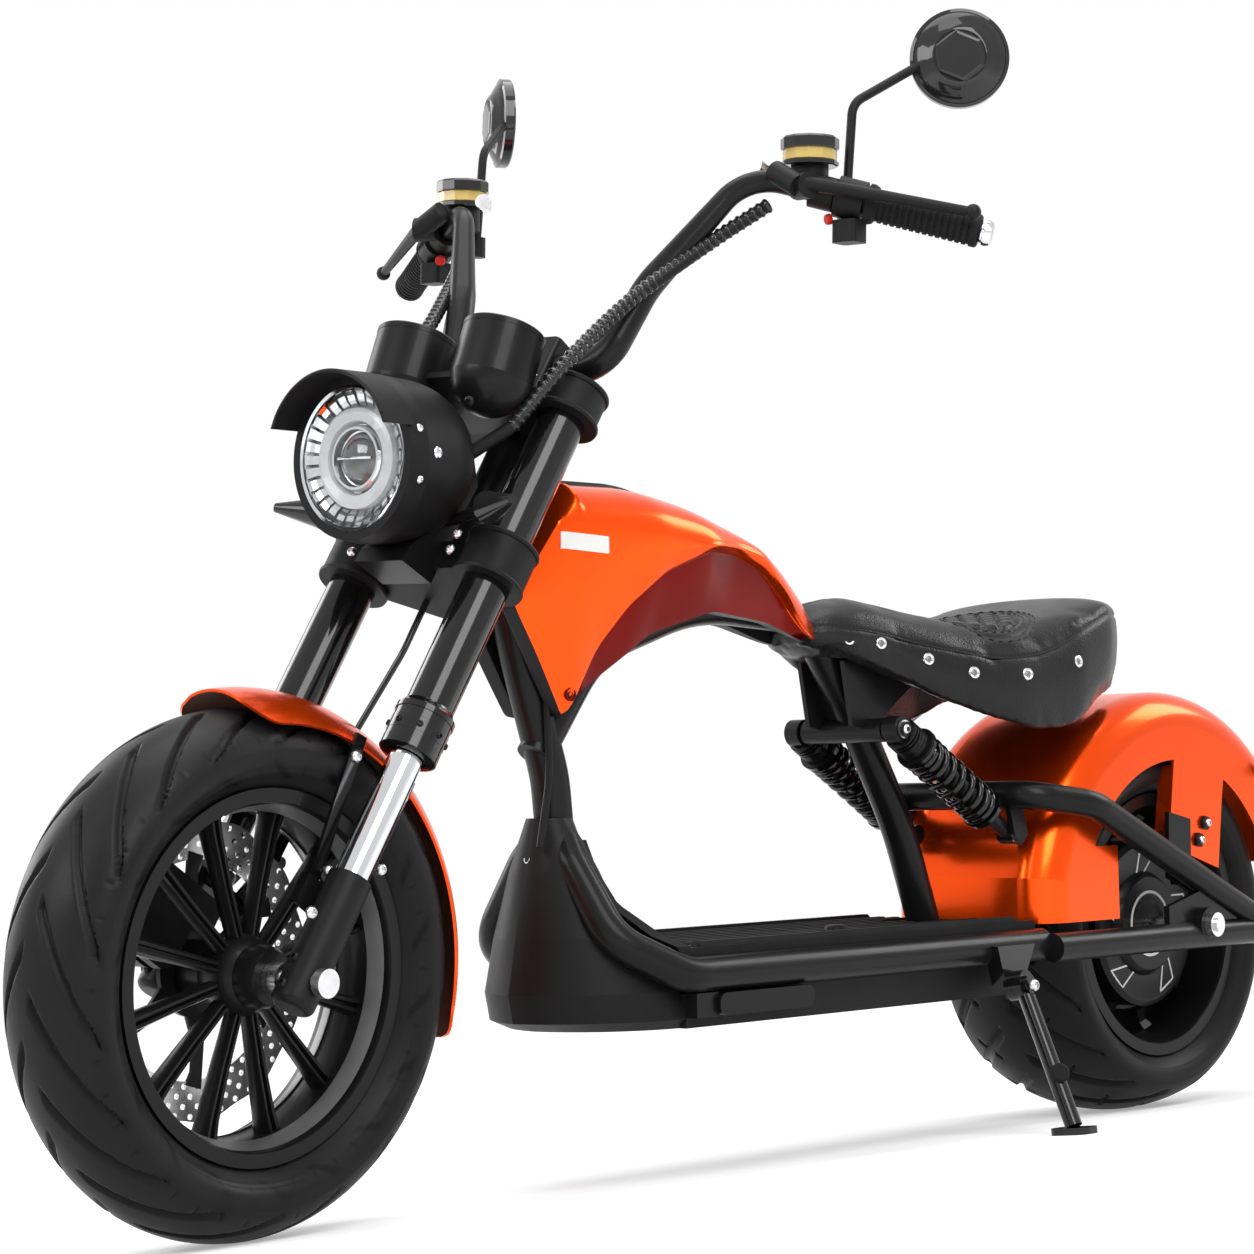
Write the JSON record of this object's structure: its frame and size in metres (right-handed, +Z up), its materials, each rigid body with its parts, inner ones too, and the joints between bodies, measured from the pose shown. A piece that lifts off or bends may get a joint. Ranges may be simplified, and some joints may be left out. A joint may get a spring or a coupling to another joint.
{
  "type": "electric chopper scooter",
  "caption": "Low fat-tyre electric chopper with a raked fork, ape-hanger bars, saddle seat, flat footboard and hub motor, leaning on its side stand.",
  "frame": {"origin": "centre of the bounding box at ground level", "axes": "-Y forward, +X to the rider's left, +Z up"},
  "size_m": [0.8596, 1.9573, 1.3092],
  "materials": {
    "orange_paint": "candy gloss",
    "black_paint": "satin",
    "gloss_black": "gloss",
    "cast_black": "satin black",
    "chrome": "polished",
    "bright_steel": "brushed",
    "tyre_rubber": "matt",
    "grip_rubber": "matt",
    "black_plastic": "fine grain",
    "gloss_plastic": "gloss",
    "seat_leather": "soft grain",
    "clear_lens": "clear",
    "red_lens": "moulded",
    "reservoir_clear": "clear",
    "mirror": "polished",
    "reflector": "polished",
    "battery_case": "plain"
  },
  "bodies": {
    "front_wheel": {"front_tyre": "tyre_rubber", "front_rim": "cast_black", "front_disc": "bright_steel"},
    "rear_wheel": {"rear_tyre": "tyre_rubber", "rear_rim": "cast_black", "hub_motor": "cast_black", "rear_disc": "bright_steel"},
    "steering": {"front_axle": "bright_steel", "fork_lowers": "cast_black", "stanchions": "chrome", "fork_tubes": "gloss_black", "triple_clamps": "black_paint", "front_fender": "orange_paint", "fender_straps": "black_paint", "front_caliper": "cast_black", "headlamp_shell": "black_paint", "headlamp_reflector": "reflector", "headlamp_lens": "clear_lens", "headlamp_bracket": "black_paint", "front_signals": "black_plastic", "instrument_pods": "gloss_plastic", "pod_bracket": "black_paint", "handlebar": "black_paint", "risers": "cast_black", "grips": "grip_rubber", "bar_ends": "chrome", "controls": "black_plastic", "reservoirs": "reservoir_clear", "mirrors": "black_plastic", "mirror_glass": "mirror", "harness": "grip_rubber", "brake_hose": "grip_rubber"},
    "root": {"main_frame": "black_paint", "rear_swingarm": "black_paint", "rear_axle": "bright_steel", "belly_tray": "black_plastic", "battery": "battery_case", "deck_plate": "black_paint", "deck_mat": "grip_rubber", "tank_body": "orange_paint", "tank_strip": "black_plastic", "seat": "seat_leather", "seat_pan": "black_paint", "shock_bodies": "black_paint", "shock_springs": "gloss_black", "rear_fender": "orange_paint", "tail_lamp": "red_lens", "rear_signals": "black_plastic", "frame_cable": "grip_rubber", "stand_bracket": "black_paint", "foot_pegs": "grip_rubber", "rear_caliper": "cast_black"},
    "side_stand": {"side_stand": "black_paint"}
  },
  "joints": [
    {"name": "steering", "type": "hinge", "parent": "root", "child": "steering", "pos_m": [-0.06443, -0.68452, 0.23146], "axis": [0.0731, 0.5441, 0.8358], "range_deg": [-35, 25]},
    {"name": "front_wheel_spin", "type": "hinge", "parent": "steering", "child": "front_wheel", "pos_m": [-0.0584, -0.72213, 0.25542], "axis": [0.9883, 0.0732, -0.1341], "continuous": true},
    {"name": "rear_wheel_spin", "type": "hinge", "parent": "root", "child": "rear_wheel", "pos_m": [-0.06404, 0.68873, 0.23686], "axis": [0.9962, 0.0001, -0.0872], "continuous": true},
    {"name": "side_stand_fold", "type": "hinge", "parent": "root", "child": "side_stand", "pos_m": [0.10195, 0.29778, 0.17189], "axis": [0.9894, 0.136, 0.0501], "range_deg": [0, 90]}
  ]
}
